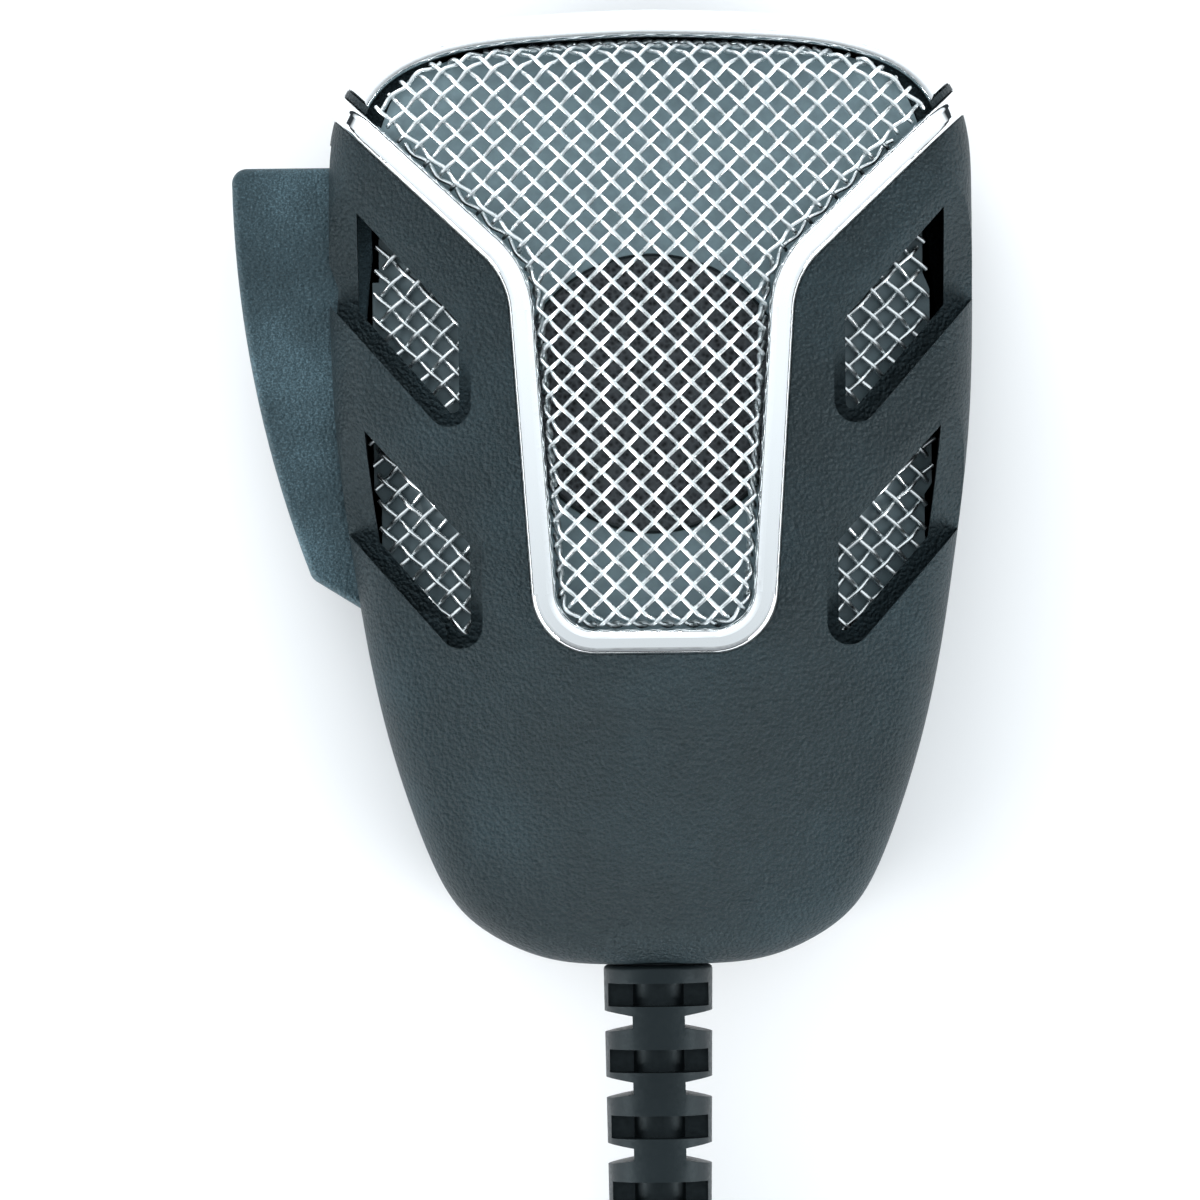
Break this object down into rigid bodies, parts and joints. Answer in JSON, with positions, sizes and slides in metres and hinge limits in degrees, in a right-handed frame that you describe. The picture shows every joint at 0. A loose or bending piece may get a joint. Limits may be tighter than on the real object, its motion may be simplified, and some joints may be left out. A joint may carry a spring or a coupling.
{
  "type": "hand microphone",
  "caption": "Two-shell hand microphone with a woven wire grille in Y-shaped bright trim, side louvres, a side push-to-talk lever, a hang stud and a curly cord with a round screw plug.",
  "frame": {"origin": "centre of the flat tip of the hang stud on the back of the microphone, on the desk it lies on", "axes": "+Z is the face with the grille, +Y the top end away from the cord, +X to the right seen from the face; the push-to-talk lever is on the -X side"},
  "size_m": [0.0736, 0.2907, 0.0313],
  "materials": {
    "shell": "fine leather grain, satin",
    "lever": "fine spark texture",
    "chrome_trim": "polished",
    "woven_wire": "bright drawn wire, woven",
    "carrier": "plain moulded",
    "element": "satin",
    "steel": "zinc plated",
    "dark_steel": "black oxide",
    "stud": "nickel plated",
    "rubber": "soft moulded PVC",
    "cord": "smooth PVC jacket",
    "foam": "open-cell foam",
    "brass": "drawn",
    "board": "solder mask",
    "components": "moulded",
    "wires": "PVC insulation",
    "plug_metal": "nickel plated, satin",
    "insulator": "phenolic"
  },
  "bodies": {
    "body": {"front_shell": "shell", "back_shell": "shell", "grille_trim": "chrome_trim", "top_trim": "chrome_trim", "centre_mesh": "woven_wire", "right_mesh": "woven_wire", "left_mesh": "woven_wire", "grille_carrier": "carrier", "cartridge_cup": "element", "cartridge_magnet": "steel", "cartridge_cap": "element", "cartridge_gasket": "rubber", "cartridge_terminals": "brass", "wind_screen": "foam", "circuit_board": "board", "board_components": "components", "board_screws": "steel", "housing_screws": "dark_steel", "ptt_pin": "steel", "ptt_spring": "steel", "spring_seat": "carrier", "switch_body": "components", "hang_stud": "stud", "stud_nut": "brass", "strain_relief": "rubber", "cord_inner": "cord", "cord_clamp": "carrier", "clamp_screws": "steel", "lead_wires": "wires", "cord_lead": "cord", "cord_curl": "cord", "cord_tail": "cord", "plug_cable": "cord", "plug_boot": "rubber", "plug_shell": "plug_metal", "plug_insert": "insulator", "plug_contacts": "brass", "plug_clamp_screws": "steel"},
    "ptt_lever": {"ptt_lever": "lever"},
    "switch_plunger": {"switch_plunger": "carrier"},
    "coupling_ring": {"plug_coupling_ring": "plug_metal"}
  },
  "joints": [
    {"name": "ptt_press", "type": "hinge", "parent": "body", "child": "ptt_lever", "pos_m": [-0.023, -0.0325, 0.014], "axis": [0, 0, -1], "range_deg": [0, 5], "stiffness_Nm_per_rad": 0.25, "springref_deg": -14.32, "deforming": ["ptt_spring"]},
    {"name": "switch_press", "type": "slide", "parent": "body", "child": "switch_plunger", "axis": [1, 0, 0], "range_m": [0, 0.001]},
    {"name": "ring_turn", "type": "hinge", "parent": "body", "child": "coupling_ring", "pos_m": [-0.026, -0.118, 0.0095], "axis": [0, 1, 0], "continuous": true}
  ],
  "couplings": [
    {"joint": "switch_press", "follows": "ptt_press", "m_per_rad": 0.0105}
  ]
}
